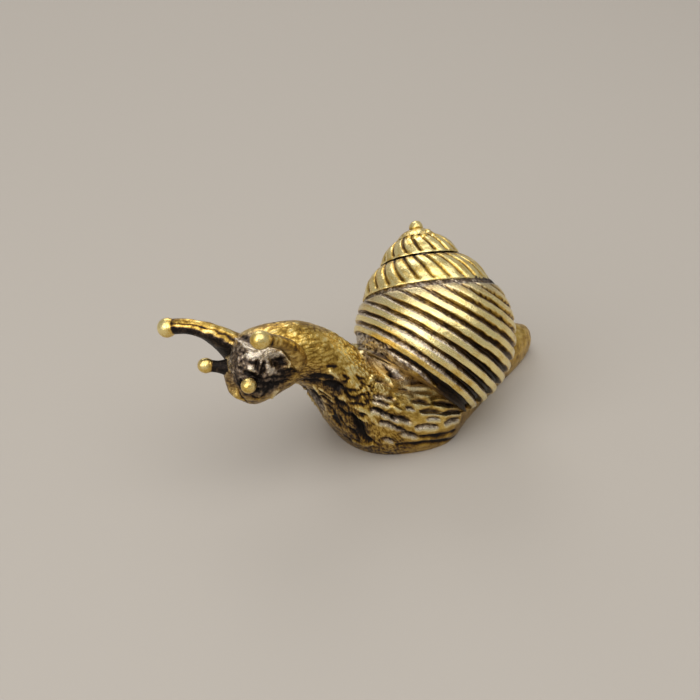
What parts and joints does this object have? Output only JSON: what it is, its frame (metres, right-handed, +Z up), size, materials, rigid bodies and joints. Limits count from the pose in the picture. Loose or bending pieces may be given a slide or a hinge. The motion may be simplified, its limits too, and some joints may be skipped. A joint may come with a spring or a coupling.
{
  "type": "snail figurine",
  "caption": "Small cast brass snail ornament with a raised head, ball-tipped stalks and a ribbed spiral shell, standing on the flat sole of its foot.",
  "frame": {"origin": "on the flat sole of the foot, below the shell", "axes": "+X to the tip of the tail, +Y to the snail's right side, +Z up"},
  "size_m": [0.0423, 0.0204, 0.0184],
  "materials": {
    "body_brass": "antiqued brass, dark in the hollows, worn bright on the ridges",
    "shell_brass": "brass, brushed bright on the ribs, near black in the grooves",
    "stalk_brass": "polished antiqued brass"
  },
  "bodies": {
    "root": {"body_casting": "body_brass", "shell_casting": "shell_brass", "upper_tentacle_right": "stalk_brass", "upper_tentacle_left": "stalk_brass", "lower_feeler_right": "stalk_brass", "lower_feeler_left": "stalk_brass"}
  },
  "joints": []
}
